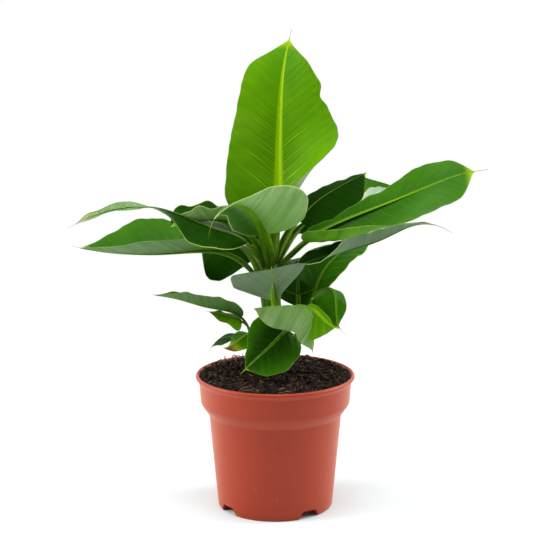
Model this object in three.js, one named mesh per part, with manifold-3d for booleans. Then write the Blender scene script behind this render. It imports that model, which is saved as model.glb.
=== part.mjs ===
// A young banana plant in a round nursery pot, in millimetres, +Z up.
// The pot stands on z = 0 with its axis on the z axis; +Y points to the back of the plant.

import * as THREE from 'three';
import { mergeVertices } from 'three/addons/utils/BufferGeometryUtils.js';
import Module from 'manifold-3d';

const wasm = await Module();
wasm.setup();

// ---- driving dimensions ------------------------------------------------------------------

const clearance = 0.35;            // gap that is kept between two solids

const pot = {
  rimRadius: 60, rimHeight: 102, bead: 1.6,
  collarTop: 57.4, collarFoot: 56.2, collarFootHeight: 81,
  shoulderRadius: 50.3, shoulderHeight: 72.4,
  footRadius: 43.5, wall: 1.5, floor: 1.6, sides: 48,
};

const notch = {                    // the four water channels in the underside
  count: 4, firstAngle: -54, halfWidth: 9.2, halfWidthTop: 6.2, height: 6,
  innerRadius: 24, roof: 1.5, drainRadius: 2.5, drainAt: 32,
};

const soil = {
  edgeHeight: 100.2, middleHeight: 104.5, ridge: 0.6, sides: 48, socketDepth: 2.5,
};

// A stem leans from its foot on the soil; radii run from the foot to the top.
const stems = {
  trunk: { foot: [-3, 8], length: 81, heading: [0, 0], rise: [89, 91], radii: [8.6, 8.2, 7.9, 7.6, 7.0] },
  sucker_left: { foot: [-17, 13], length: 29, heading: [-84, -84], rise: [60, 64], radii: [4.6, 4.4, 4.2] },
  sucker_front: { foot: [6.6, -1.4], length: 40, heading: [-96, -96], rise: [69, 73], radii: [4.4, 4.4, 4.2] },
  sucker_right: { foot: [4.6, 20], length: 37.6, heading: [-49, -49], rise: [49, 55], radii: [4.6, 4.6, 4.4] },
};

// Each leaf starts beside or on its stem: at = [x, y] from the stem's axis, at a height above z = 0
// or, with none given, on the stem's top. heading, rise and roll run from foot to tip in degrees.
// left and right are the blade's half widths from base to tip. fold is how far each half stands up
// from flat at the rib and curl is how much further it has turned at its margin.
const leaves = {
  leaf_upright: {
    stem: 'trunk', at: [0.3, 0.6], petiole: 28, blade: 146, tail: 8,
    heading: [50, 88, 78, 42], rise: [83, 62, 76, 70], roll: [0, 4, 0],
    left: [42, 42, 42, 39, 36, 33, 31, 26, 18], right: [36, 43, 46, 49, 48, 40, 32, 26, 15],
    foldLeft: [24, 14, 8], foldRight: [24, 12, 6], curlLeft: [18, 6, 0], curlRight: [130, 60, 6, 0, 0],
    wave: 1.4, waves: 2.5, taper: 0.84, stalk: [2.4, 3.4, 3.1], tone: 'bright',
  },
  leaf_front: {
    stem: 'trunk', at: [-1, -5], petiole: 30, blade: 82, tail: 15,
    heading: [-111, -116, -116, -119, -156], rise: [77, 51, 27, -7, -88], roll: [-14, -28, -30, -20],
    left: [26, 35, 42, 39, 31, 24, 18, 12, 6], right: [12, 14, 17, 18, 16, 12, 9, 6, 4],
    foldLeft: [-22, 0, -2, 0], foldRight: [-20, -30, -30], curlLeft: [0, 0, 0], curlRight: [0, 0],
    wave: 0.8, waves: 2, taper: 0.8, stalk: [2.6, 3.6, 3.4], tone: 'pale',
  },
  leaf_left_folded: {
    stem: 'trunk', at: [-4.6, 2.4], petiole: 38, blade: 58, tail: 2,
    heading: [-142, -150, -153, -150], rise: [78, 38, 2, -10], roll: [0, 0],
    left: [8, 11, 14, 15, 14], right: [10, 14, 16, 16, 14],
    foldLeft: [50, 48, 52], foldRight: [50, 40, 34], curlLeft: [0, 0], curlRight: [0, 0],
    wave: 1.2, waves: 3, taper: 0.8, stalk: [2.2, 2.8, 2.4], tone: 'dark',
  },
  leaf_left_long: {
    stem: 'trunk', at: [-5.2, -1.8], petiole: 26, blade: 138, tail: 7,
    heading: [-136, -150, -154, -164, -164], rise: [63, 22, 24, -6, -27], roll: [14, 12, 6, 0],
    left: [12, 18, 23, 23, 19, 14, 8, 6, 6], right: [20, 25, 16, 12, 10],
    foldLeft: [-10, -24, -30, 10, 50, 50], foldRight: [0, -8, -20, -20],
    curlLeft: [0, 0], curlRight: [0, 0],
    wave: 0.8, waves: 4, stalk: [2.2, 3, 2.8], tone: 'dark',
  },
  leaf_left_low: {
    stem: 'trunk', at: [-8.7, -1.5], height: 172, petiole: 36, blade: 106, tail: 6,
    heading: [176, 188, 185, 189], rise: [60, 0, 2, 14], roll: [0, 0],
    left: [14, 21, 22, 18, 12], right: [16, 28, 34, 25, 15],
    foldLeft: [50, 38, 32, 26], foldRight: [50, 44, 40, 26], curlLeft: [0, 0], curlRight: [0, 0],
    wave: 0.6, waves: 2, stalk: [2.2, 2.8, 2.6], tone: 'bright',
  },
  leaf_left_round: {
    stem: 'trunk', at: [-7.6, 5.6], height: 168, petiole: 20, blade: 50, tail: 3,
    heading: [132, 142, 155, 157], rise: [80, 37, 9, -20], roll: [0, 0],
    left: [16, 27, 32, 31, 26], right: [14, 18, 18, 14, 8],
    foldLeft: [-75, -76, -70, -62, -50], foldRight: [-10, -10], curlLeft: [0, 0], curlRight: [-10, -10],
    wave: 0, waves: 2, taper: 0.8, stalk: [2, 2.6, 2.4], tone: 'dark',
  },
  leaf_right_back: {
    stem: 'trunk', at: [4.2, 3.4], petiole: 34, blade: 120, tail: 6,
    heading: [61, 49, 44, 33], rise: [48, 16, 3, 20], roll: [0, 0],
    left: [4, 7, 12, 26, 22], right: [10, 14, 14, 14, 9],
    foldLeft: [-14, -4, 20, 44, 34], foldRight: [-40, -20, 50, 44], curlLeft: [0, 0], curlRight: [0, 0],
    wave: 0.6, waves: 2, stalk: [2.2, 2.8, 2.6], tone: 'dark',
  },
  leaf_right_dark: {
    stem: 'trunk', at: [2.6, 6], petiole: 40, blade: 72, tail: 2,
    heading: [50, 42, 34, 28], rise: [64, 40, 22, 20], roll: [0, 0],
    left: [8, 10, 9, 7, 4], right: [20, 27, 26, 18, 8],
    foldLeft: [20, 10], foldRight: [-62, -60, -40], curlLeft: [0, 0], curlRight: [-10, 0],
    wave: 0.4, waves: 2, taper: 0.8, stalk: [2.2, 2.6, 2.4], tone: 'dark',
  },
  leaf_right_big: {
    stem: 'trunk', at: [5.3, -0.8], petiole: 30, blade: 136, tail: 10,
    heading: [-24, -20, -10, -5], rise: [52, 33, 24, 23, 23, 6], roll: [-6, -18, -25, -25],
    left: [7, 6, 14, 27, 23], right: [24, 40, 40, 38, 32],
    foldLeft: [50, 30, 4, 0], foldRight: [-50, -60, -40, 0, 0], curlLeft: [20, 6, 0],
    curlRight: [150, 150, 90, 8, 0],
    wave: 1, waves: 3, taper: 0.8, stalk: [2.6, 3.6, 3.2], tone: 'bright',
  },
  leaf_right_thin: {
    stem: 'trunk', at: [6.8, -5.5], height: 170, petiole: 20, blade: 112, tail: 14,
    heading: [-27, -26, -21, -17, -21], rise: [55, 20, 19, 26, -30], roll: [-10, -10],
    left: [8, 10, 10, 7, 4], right: [8, 13, 13, 8, 5],
    foldLeft: [40, 34, 24, 14], foldRight: [0, 0, 60, 56, 40], curlLeft: [0, 0], curlRight: [10, 0],
    wave: 0.6, waves: 3, stalk: [2, 2.4, 2], tone: 'dark',
  },
  leaf_back_tall: {
    stem: 'trunk', at: [0.2, 5.4], petiole: 38, blade: 106, tail: 8,
    heading: [90, 94, 97, 98], rise: [78, 44, 20, -8], roll: [0, 0],
    left: [18, 22, 24, 20, 12], right: [16, 22, 24, 20, 12],
    foldLeft: [24, 14, 6], foldRight: [24, 14, 6], curlLeft: [0, -8], curlRight: [0, -8],
    wave: 1.2, waves: 3, stalk: [1.8, 2.4, 2.2], tone: 'dark',
  },
  leaf_back_left: {
    stem: 'trunk', at: [-4, 8.6], height: 166, petiole: 34, blade: 92, tail: 6,
    heading: [112, 122, 130, 136], rise: [70, 32, 6, -22], roll: [0, 0],
    left: [20, 24, 24, 20, 12], right: [20, 24, 24, 20, 12],
    foldLeft: [10, 0, 0], foldRight: [10, 0, 0], curlLeft: [0, -6], curlRight: [0, -6],
    wave: 1, waves: 3, stalk: [1.8, 2.2, 2], tone: 'dark',
  },
  leaf_under_front: {
    stem: 'sucker_front', at: [0, -2.4], petiole: 22, blade: 29, tail: 3,
    heading: [-168, -140, -104, -100], rise: [80, 75, 64, 62], roll: [0, 0],
    left: [2, 6, 14, 24, 30], right: [14, 28, 31, 30, 20],
    foldLeft: [10, 22, 34], foldRight: [0, 0, 0], curlLeft: [0, 0], curlRight: [-6, -6],
    wave: 0.4, waves: 2, taper: 0.8, stalk: [1.2, 1.5, 1.4], tone: 'pale',
  },
  leaf_spear: {
    stem: 'sucker_front', at: [-4, -1.2], petiole: 15, blade: 22, tail: 2,
    heading: [-104, -104, -110, -100], rise: [58, 62, 78, 84], roll: [0, 0],
    left: [1.6, 2.2, 2.2, 2, 1.2], right: [1.6, 2.2, 2.2, 2, 1.2],
    foldLeft: [30, 30], foldRight: [30, 30], curlLeft: [0, 0], curlRight: [0, 0],
    wave: 0, waves: 1, stalk: [1.2, 1.5, 1.5], tone: 'bright',
  },
  leaf_arched: {
    stem: 'sucker_front', at: [2.6, 1.2], petiole: 18, blade: 45, tail: 3,
    heading: [-40, -48, -55, -44, -30], rise: [49, 60, -44, -82, -84], roll: [180, 180],
    left: [30, 40, 42, 41, 36, 18, 13, 10, 5], right: [5, 5, 4, 4, 3],
    foldLeft: [-10, -6, 0], foldRight: [0, 10], curlLeft: [10, 10], curlRight: [10, 10],
    wave: 0, waves: 1, taper: 0.8, stalk: [1.3, 1.6, 1.6], tone: 'pale',
  },
  leaf_small_right: {
    stem: 'sucker_front', at: [2.8, -2.4], petiole: 18, blade: 33, tail: 3,
    heading: [-10, -28, -33, -19], rise: [56, 39, -38, -17], roll: [-30, -50],
    left: [3, 4, 4, 3, 2], right: [12, 22, 26, 22, 12],
    foldLeft: [10, 0], foldRight: [0, 0], curlLeft: [0, 0], curlRight: [0, 0],
    wave: 0, waves: 1, stalk: [1.2, 1.5, 1.5], tone: 'bright',
  },
  leaf_hanging: {
    stem: 'sucker_front', at: [0.4, 3], petiole: 12, blade: 46, tail: 5,
    heading: [-55, -136, -165, -173], rise: [22, -31, -40, -45], roll: [20, 55, 60, 60],
    left: [16, 20, 21, 17, 9], right: [16, 21, 20, 11, 4],
    foldLeft: [4, 4], foldRight: [4, 4], curlLeft: [0, 0], curlRight: [0, 0],
    wave: 0, waves: 1, taper: 0.8, stalk: [1.2, 1.4, 1.4], tone: 'bright',
  },
  leaf_low_left: {
    stem: 'sucker_left', at: [-1, 2.4], petiole: 18, blade: 28, tail: 3,
    heading: [-172, -161, -152, -158], rise: [87, 36, 18, 13], roll: [0, 0],
    left: [12, 14, 12, 8, 5], right: [6, 7, 6, 4, 3],
    foldLeft: [-30, -30], foldRight: [10, 10], curlLeft: [0, 0], curlRight: [0, 0],
    wave: 0.4, waves: 2, stalk: [1.2, 1.3, 1.3], tone: 'bright',
  },
  leaf_brown_tip: {
    stem: 'sucker_left', at: [0.6, -2.6], petiole: 9, blade: 27, tail: 2,
    heading: [-129, -129, -142, -164], rise: [78, -4, -29, 4], roll: [0, 0],
    left: [15, 16, 13, 8, 4], right: [8, 9, 8, 5, 3],
    foldLeft: [-24, -24], foldRight: [0, 0], curlLeft: [0, 0], curlRight: [0, 0],
    wave: 0.3, waves: 2, stalk: [1.2, 1.3, 1.3], tone: 'bright',
  },
  leaf_small_dark: {
    stem: 'sucker_left', at: [-3.8, 3.8], height: 121, petiole: 14, blade: 24, tail: 8,
    heading: [149, 148, 160, 159], rise: [40, 0, -37, -76], roll: [0, 0],
    left: [8, 10, 9, 6, 3], right: [6, 8, 7, 5, 3],
    foldLeft: [-20, -20], foldRight: [10, 10], curlLeft: [0, 0], curlRight: [0, 0],
    wave: 0, waves: 1, stalk: [1.1, 1.2, 1.2], tone: 'dark',
  },
  leaf_narrow_left: {
    stem: 'sucker_left', at: [-2.6, -0.8], petiole: 20, blade: 70, tail: 3,
    heading: [170, 198, 203, 193], rise: [92, 17, 21, 9], roll: [0, 0],
    left: [8, 12, 11, 8, 5], right: [7, 10, 10, 8, 5],
    foldLeft: [44, 54, 44], foldRight: [30, 30], curlLeft: [0, 0], curlRight: [0, 0],
    wave: 0.4, waves: 3, stalk: [1.2, 1.4, 1.4], tone: 'dark',
  },
  leaf_under_right: {
    stem: 'sucker_right', at: [1.8, 2], petiole: 18, blade: 84, tail: 5,
    heading: [51, 45, 33, 19], rise: [72, 62, 24, 12], roll: [0, 0],
    left: [34, 32, 23, 12, 5], right: [5, 12, 18, 17, 9],
    foldLeft: [14, 10], foldRight: [-10, -6], curlLeft: [0, 0], curlRight: [0, 0],
    wave: 0.6, waves: 2, stalk: [1.4, 1.8, 1.8], tone: 'bright',
  },
  leaf_striped: {
    stem: 'sucker_right', at: [-2.4, -2.6], petiole: 33, blade: 52, tail: 10,
    heading: [-33, -9, -45, -85, -1], rise: [62, 74, 8, -80, -24], roll: [0, 0],
    left: [4, 6, 8, 8, 5], right: [10, 17, 18, 17, 10],
    foldLeft: [-20, -20], foldRight: [-20, -20], curlLeft: [0, 0], curlRight: [0, 0],
    wave: 0, waves: 1, stalk: [1.2, 1.5, 1.5], tone: 'dark',
  },
  leaf_back_low: {
    stem: 'sucker_right', at: [-2.6, 1.6], petiole: 30, blade: 62, tail: 5,
    heading: [88, 92, 100, 108], rise: [82, 50, 10, -24], roll: [0, 0],
    left: [16, 20, 20, 15, 8], right: [16, 20, 20, 15, 8],
    foldLeft: [14, 10], foldRight: [14, 10], curlLeft: [0, -6], curlRight: [0, -6],
    wave: 0.6, waves: 2, stalk: [1.3, 1.6, 1.6], tone: 'dark',
  },
};

const colours = {
  pot: 0xa34b34, soil: 0x2c211d, stem: 0x60702a,
  bright: 0x44741a, dark: 0x1f4410, pale: 0x6b8550,
};

// ---- helpers -----------------------------------------------------------------------------

const rad = THREE.MathUtils.degToRad;

// A smooth value at the share s of the way along a short list.
function along(list, s) {
  const spans = list.length - 1;
  const t = THREE.MathUtils.clamp(s, 0, 1) * spans;
  const i = Math.min(Math.floor(t), spans - 1);
  const f = t - i;
  const b = list[i];
  const c = list[i + 1];
  const a = list[Math.max(i - 1, 0)];
  const d = list[Math.min(i + 2, spans)];
  const square = 2 * a - 5 * b + 4 * c - d;
  const cube = 3 * b - a - 3 * c + d;
  return 0.5 * (2 * b + (c - a) * f + square * f * f + cube * f * f * f);
}

// The direction of a limb and the two directions across it, at the share s of its length.
function frameAt(limb, s) {
  const heading = rad(along(limb.heading, s));
  const rise = rad(along(limb.rise, s));
  const roll = rad(along(limb.roll ?? [0, 0], s));
  const forward = new THREE.Vector3(
    Math.cos(rise) * Math.cos(heading), Math.cos(rise) * Math.sin(heading), Math.sin(rise));
  const level = new THREE.Vector3(Math.sin(heading), -Math.cos(heading), 0);
  const upright = level.clone().cross(forward);
  const side = level.clone().multiplyScalar(Math.cos(roll)).addScaledVector(upright, Math.sin(roll));
  const up = upright.multiplyScalar(Math.cos(roll)).addScaledVector(level, -Math.sin(roll));
  return { forward, side, up };
}

// Walks a limb from its foot and keeps a point every small step of its length.
const walkSteps = 72;

function walk(limb, foot) {
  const points = [foot.clone()];
  for (let i = 0; i < walkSteps; i += 1) {
    const { forward } = frameAt(limb, (i + 0.5) / walkSteps);
    points.push(points[i].clone().addScaledVector(forward, limb.length / walkSteps));
  }
  return points;
}

function pointAt(points, s) {
  const t = THREE.MathUtils.clamp(s, 0, 1) * walkSteps;
  const i = Math.min(Math.floor(t), walkSteps - 1);
  return points[i].clone().lerp(points[i + 1], t - i);
}

// A closed skin over rings of equally many points, with flat fans over both ends.
function loft(rings) {
  const count = rings[0].length;
  const positions = [];
  const triangles = [];
  for (const ring of rings) {
    for (const point of ring) positions.push(point.x, point.y, point.z);
  }
  for (let r = 0; r + 1 < rings.length; r += 1) {
    for (let j = 0; j < count; j += 1) {
      const k = (j + 1) % count;
      const here = r * count;
      const next = here + count;
      // the diagonals under a blade run the same way as those over it
      if (j < count / 2) triangles.push(here + j, here + k, next + k, here + j, next + k, next + j);
      else triangles.push(here + j, here + k, next + j, here + k, next + k, next + j);
    }
  }
  for (const end of [0, rings.length - 1]) {
    const middle = new THREE.Vector3();
    for (const point of rings[end]) middle.addScaledVector(point, 1 / count);
    const hub = positions.length / 3;
    positions.push(middle.x, middle.y, middle.z);
    for (let j = 0; j < count; j += 1) {
      const a = end * count + j;
      const b = end * count + ((j + 1) % count);
      if (end === 0) triangles.push(hub, b, a);
      else triangles.push(hub, a, b);
    }
  }
  const geometry = new THREE.BufferGeometry();
  geometry.setAttribute('position', new THREE.Float32BufferAttribute(positions, 3));
  geometry.setIndex(triangles);
  return geometry;
}

function toSolid(geometry) {
  const bare = geometry.clone();
  bare.deleteAttribute('normal');
  bare.deleteAttribute('uv');
  const merged = mergeVertices(bare, 1e-4);
  return new wasm.Manifold(new wasm.Mesh({
    numProp: 3,
    vertProperties: new Float32Array(merged.attributes.position.array),
    triVerts: new Uint32Array(merged.index.array),
  }));
}

// The geometry of a solid's largest piece.
function toGeometry(solid) {
  const pieces = solid.decompose().sort((a, b) => b.volume() - a.volume());
  const mesh = pieces[0].getMesh();
  const geometry = new THREE.BufferGeometry();
  geometry.setAttribute('position', new THREE.BufferAttribute(mesh.vertProperties, 3));
  geometry.setIndex(new THREE.BufferAttribute(mesh.triVerts, 1));
  return geometry;
}

function lathe(profile, sides) {
  const points = profile.map(([r, z]) => new THREE.Vector2(r, z));
  return new THREE.LatheGeometry(points, sides).rotateX(Math.PI / 2);
}

function makeMesh(name, geometry, colour, roughness) {
  const flat = geometry.index ? geometry.toNonIndexed() : geometry;
  flat.computeVertexNormals();
  const material = new THREE.MeshStandardMaterial({ color: colour, roughness, metalness: 0 });
  const mesh = new THREE.Mesh(mergeVertices(flat), material);
  mesh.name = name;
  return mesh;
}

// ---- pot ---------------------------------------------------------------------------------

// The outside of the pot from the middle of its floor to the crown of the rim.
function potOutside() {
  const { rimRadius, rimHeight, bead } = pot;
  return [
    [0, 0], [pot.footRadius - 0.8, 0], [pot.footRadius, 1.2],
    [pot.shoulderRadius - 0.5, pot.shoulderHeight - 3], [pot.shoulderRadius, pot.shoulderHeight],
    [pot.collarFoot - 3.2, pot.shoulderHeight + 3.4], [pot.collarFoot - 1.2, pot.shoulderHeight + 6.4],
    [pot.collarFoot, pot.collarFootHeight], [pot.collarTop, rimHeight - 3 * bead],
    [rimRadius - 0.6, rimHeight - 2 * bead - 0.6], [rimRadius, rimHeight - bead],
    [rimRadius - 0.5, rimHeight - 0.4], [rimRadius - bead, rimHeight],
  ];
}

// The inside of the pot from the rim down to the middle of the floor, set in by extra.
function potInside(extra) {
  const inset = pot.wall + extra;
  return [
    [pot.collarTop - inset + 1, pot.rimHeight - 0.6], [pot.collarTop - inset, pot.rimHeight - 3],
    [pot.collarFoot - inset, pot.collarFootHeight],
    [pot.shoulderRadius - inset, pot.shoulderHeight + 1.4],
    [pot.shoulderRadius - 0.5 - inset, pot.shoulderHeight - 3],
    [pot.footRadius - inset + 0.1, pot.floor + extra], [0, pot.floor + extra],
  ];
}

// A channel under the pot, swollen by extra on its sides and roof.
function channel(index, extra) {
  const { halfWidth, halfWidthTop, height, innerRadius } = notch;
  const lean = (halfWidth - halfWidthTop) / height;
  const outline = new THREE.Shape([
    new THREE.Vector2(-halfWidth - extra - lean, -1),
    new THREE.Vector2(halfWidth + extra + lean, -1),
    new THREE.Vector2(halfWidthTop + extra + 1, height + extra - 1.5),
    new THREE.Vector2(halfWidthTop + extra - 1, height + extra),
    new THREE.Vector2(-halfWidthTop - extra + 1, height + extra),
    new THREE.Vector2(-halfWidthTop - extra - 1, height + extra - 1.5),
  ]);
  const length = pot.rimRadius - innerRadius + extra;
  const geometry = new THREE.ExtrudeGeometry(outline, { depth: length, bevelEnabled: false });
  geometry.rotateX(Math.PI / 2);
  geometry.translate(0, extra - innerRadius, 0);
  geometry.rotateZ(rad(notch.firstAngle + (index * 360) / notch.count));
  return toSolid(geometry);
}

function drain(index) {
  const hole = new THREE.CylinderGeometry(notch.drainRadius, notch.drainRadius, 30, 12);
  hole.rotateX(Math.PI / 2);
  hole.translate(0, -notch.drainAt, 0);
  hole.rotateZ(rad(notch.firstAngle + (index * 360) / notch.count));
  return toSolid(hole);
}

function makePot() {
  const envelope = toSolid(lathe([...potOutside(), [0, pot.rimHeight]], pot.sides));
  let solid = toSolid(lathe([...potOutside(), ...potInside(0)], pot.sides));
  for (let i = 0; i < notch.count; i += 1) {
    solid = solid.add(channel(i, notch.roof).intersect(envelope));
  }
  for (let i = 0; i < notch.count; i += 1) {
    solid = solid.subtract(channel(i, 0)).subtract(drain(i));
  }
  return toGeometry(solid);
}

// ---- soil --------------------------------------------------------------------------------

function soilHeight(x, y) {
  const radius = Math.hypot(x, y);
  const dome = THREE.MathUtils.smoothstep(pot.collarTop - radius, 2, 40);
  const lumps = Math.sin(x * 0.31 + 1) * Math.cos(y * 0.27) + 0.6 * Math.sin(x * 0.13 - y * 0.55);
  return THREE.MathUtils.lerp(soil.edgeHeight, soil.middleHeight, dome) + soil.ridge * lumps;
}

function makeSoil(sockets) {
  const wallGap = clearance + 0.15;
  const rim = pot.collarTop - pot.wall - wallGap - 0.2;
  const sideProfile = potInside(wallGap).slice(2).reverse();
  const top = [rim, 52, 46, 38, 29, 20, 10, 0].map((r) => [r, soil.middleHeight]);
  const geometry = lathe([...sideProfile, ...top], soil.sides);
  const positions = geometry.attributes.position;
  for (let i = 0; i < positions.count; i += 1) {
    if (positions.getZ(i) < soil.middleHeight - 0.01) continue;
    positions.setZ(i, soilHeight(positions.getX(i), positions.getY(i)));
  }
  let solid = toSolid(geometry);
  for (let i = 0; i < notch.count; i += 1) {
    solid = solid.subtract(channel(i, notch.roof + wallGap));
  }
  for (const socket of sockets) solid = solid.subtract(socket);
  return toGeometry(solid);
}

// ---- stems -------------------------------------------------------------------------------

const stemSides = 14;

function stemFoot(stem) {
  const [x, y] = stem.foot;
  return new THREE.Vector3(x, y, soil.middleHeight - soil.socketDepth);
}

function stemRings(stem, swell) {
  const points = walk(stem, stemFoot(stem));
  const rings = [];
  const levels = 8;
  for (let i = 0; i <= levels; i += 1) {
    const s = i / levels;
    const { forward } = frameAt(stem, s);
    const middle = pointAt(points, s);
    if (i === 0) middle.addScaledVector(forward, -swell);
    if (i === levels) middle.addScaledVector(forward, swell);
    const radius = along(stem.radii, s) + swell;
    const ring = [];
    for (let j = 0; j < stemSides; j += 1) {
      const turn = (j / stemSides) * 2 * Math.PI;
      const flat = new THREE.Vector3(Math.cos(turn) * radius, Math.sin(turn) * radius, 0);
      ring.push(flat.add(middle));
    }
    rings.push(ring);
  }
  return rings;
}

// ---- leaves ------------------------------------------------------------------------------

const bladeSections = 11;
const tailSections = 2;
const roundedBase = 0.14;          // share of the blade in which its base rounds out
const usualTaper = 0.72;           // share of the blade from which it draws to its tip
const slenderness = 96;            // leaf length over blade thickness

// Share of the full half width at v, from 0 at the blade's base to 1 at its tip.
function bladeShare(leaf, v) {
  if (v <= 0 || v >= 1) return 0;
  const taper = leaf.taper ?? usualTaper;
  const base = Math.sqrt(1 - (1 - Math.min(v / roundedBase, 1)) ** 2);
  const tip = 1 - (Math.max(0, v - taper) / (1 - taper)) ** 2;
  return base * tip;
}

// One closed section: five points over the upper face, then five back under it.
function leafSection(leaf, v, swell) {
  const points = [];
  const inside = THREE.MathUtils.clamp(v, 0, 1);
  const stalkRadius = along(leaf.stalk, THREE.MathUtils.clamp(v + 1, 0, 1));
  const tailRadius = THREE.MathUtils.lerp(leaf.stalk.at(-1), 0.9, inside);
  const thick = leaf.length / slenderness + 2 * swell;
  const open = THREE.MathUtils.smoothstep(v, -0.01, 0.05) * THREE.MathUtils.smoothstep(1 - v, 0, 0.04);
  for (let k = 0; k < 10; k += 1) {
    const over = k < 5;
    const u = over ? k / 2 - 1 : 1 - (k - 5) / 2;
    const turn = rad(162 - 36 * k);
    const tube = (v < 0 ? stalkRadius : tailRadius) + swell;
    const stalkX = tube * Math.cos(turn);
    const stalkY = 0.8 * tube * Math.sin(turn);
    const left = u < 0;
    const half = (along(left ? leaf.left : leaf.right, inside) + swell) * bladeShare(leaf, v);
    const width = Math.max(half, tube);
    const fold = rad(along(left ? leaf.foldLeft : leaf.foldRight, inside));
    const curl = rad(along(left ? leaf.curlLeft : leaf.curlRight, inside)) || 1e-4;
    const out = Math.abs(u);
    const turned = fold + curl * out;
    const across = (width / curl) * (Math.sin(turned) - Math.sin(fold));
    const raised = (-width / curl) * (Math.cos(turned) - Math.cos(fold));
    const shift = left ? 1.3 : 0;
    const ripple = leaf.wave * bladeShare(leaf, v) * u * u * Math.sin(2 * Math.PI * leaf.waves * v + shift);
    const depth = over ? swell : swell - thick;
    const bladeX = (left ? -1 : 1) * (across - depth * Math.sin(turned));
    const bladeY = raised + ripple + depth * Math.cos(turned);
    points.push([
      THREE.MathUtils.lerp(stalkX, bladeX, open), THREE.MathUtils.lerp(stalkY, bladeY, open),
    ]);
  }
  return points;
}

// The stations of a leaf, as v: below 0 on the stalk, 0 to 1 on the blade, above 1 on the tail.
function leafStations() {
  const stations = [-1, -0.66, -0.33, -0.08];
  for (let i = 0; i <= bladeSections; i += 1) {
    stations.push((1 - Math.cos((Math.PI * i) / bladeSections)) / 2);
  }
  for (let i = 1; i <= tailSections; i += 1) stations.push(1 + i / tailSections);
  return stations;
}

// The share of the leaf's whole length at the station v.
function lengthShare(leaf, v) {
  if (v < 0) return ((v + 1) * leaf.petiole) / leaf.length;
  if (v <= 1) return (leaf.petiole + v * leaf.blade) / leaf.length;
  return (leaf.petiole + leaf.blade + (v - 1) * leaf.tail) / leaf.length;
}

function leafFoot(leaf) {
  const stem = stems[leaf.stem];
  const axis = walk(stem, stemFoot(stem));
  const top = axis[walkSteps];
  const base = leaf.height ?? top.z + clearance;
  const beside = leaf.height ? (leaf.height - axis[0].z) / (top.z - axis[0].z) : 1;
  const middle = pointAt(axis, beside);
  return new THREE.Vector3(middle.x + leaf.at[0], middle.y + leaf.at[1], base);
}

function leafRings(leaf, swell) {
  const points = walk(leaf, leafFoot(leaf));
  const stations = leafStations();
  return stations.map((v, i) => {
    const s = lengthShare(leaf, v);
    const { forward, side, up } = frameAt(leaf, s);
    const middle = pointAt(points, s);
    if (i === 0) middle.addScaledVector(forward, -swell);
    if (i === stations.length - 1) middle.addScaledVector(forward, swell);
    return leafSection(leaf, v, swell).map(([x, y]) => (
      middle.clone().addScaledVector(side, x).addScaledVector(up, y)));
  });
}

// ---- assembly ----------------------------------------------------------------------------

function overlaps(a, b) {
  const first = a.boundingBox();
  const second = b.boundingBox();
  return [0, 1, 2].every((k) => first.min[k] < second.max[k] && second.min[k] < first.max[k]);
}

// Cuts what lies within the clearance of the solids already standing.
function cutClear(solid, swollen) {
  let rest = solid;
  for (const other of swollen) {
    if (overlaps(rest, other)) rest = rest.subtract(other);
  }
  return rest;
}

const plant = new THREE.Group();
const standing = [];               // swollen copies of the solids that later ones keep clear of

plant.add(makeMesh('pot', makePot(), colours.pot, 0.45));

for (const stem of Object.values(stems)) standing.push(toSolid(loft(stemRings(stem, clearance))));
plant.add(makeMesh('soil', makeSoil(standing), colours.soil, 1));
for (const [name, stem] of Object.entries(stems)) {
  plant.add(makeMesh(name, loft(stemRings(stem, 0)), colours.stem, 0.5));
}

for (const [name, leaf] of Object.entries(leaves)) {
  leaf.length = leaf.petiole + leaf.blade + leaf.tail;
  const solid = cutClear(toSolid(loft(leafRings(leaf, 0))), standing);
  plant.add(makeMesh(name, toGeometry(solid), colours[leaf.tone], 0.35));
  standing.push(toSolid(loft(leafRings(leaf, clearance))));
}

export default plant;
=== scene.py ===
import math
import random

import bpy
import bmesh
from mathutils import Matrix, Vector, noise


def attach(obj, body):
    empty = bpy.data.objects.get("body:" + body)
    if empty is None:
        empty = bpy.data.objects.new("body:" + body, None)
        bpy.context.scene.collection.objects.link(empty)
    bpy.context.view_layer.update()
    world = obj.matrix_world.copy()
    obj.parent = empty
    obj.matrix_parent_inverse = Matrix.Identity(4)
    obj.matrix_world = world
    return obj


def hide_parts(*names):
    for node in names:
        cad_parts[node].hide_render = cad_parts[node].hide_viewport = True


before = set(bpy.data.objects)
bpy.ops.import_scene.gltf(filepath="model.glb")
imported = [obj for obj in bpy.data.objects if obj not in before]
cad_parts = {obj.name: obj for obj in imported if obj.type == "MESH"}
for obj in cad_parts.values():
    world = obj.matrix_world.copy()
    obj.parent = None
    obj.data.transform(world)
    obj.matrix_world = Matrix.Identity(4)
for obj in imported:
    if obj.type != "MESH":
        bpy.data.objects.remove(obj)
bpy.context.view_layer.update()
mm = 0.001
random.seed(7)

# camera, lights and floor

view = dict(
    place=(0.0036, -1.133, 0.407), pitch=78.36,   # level would be 90
    lens=100.03, sensor=36,
)
studio = dict(
    backdrop=1.0,            # what the camera sees behind the plant
    front=0.22, back=1.25,   # light that comes from the camera's side and from behind the plant
    frontAt=-0.7, backAt=0.5,   # one turns into the other between these directions
    softboxes=[              # place, size, power, aims at
        ((-1.1, -0.1, 0.7), 0.8, 15, (0, 0, 0.15)),
        ((1.1, 0.2, 0.7), 0.8, 13.5, (0, 0, 0.15)),
        ((0.0, -0.4, 1.5), 0.9, 13, (0, 0, 0.2)),
    ],
    floorColour=(213, 221, 222), floorSize=6,
    floorNear=0.25, floorFar=0.8,   # the floor turns pure white between these distances
)
white = (1, 1, 1, 1)


def colour(red, green, blue):
    # a screen colour, 0 to 255, as the light values that shaders work in
    values = [c / 255 for c in (red, green, blue)]
    return tuple(c / 12.92 if c <= 0.04045 else ((c + 0.055) / 1.055) ** 2.4 for c in values) + (1,)


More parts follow.
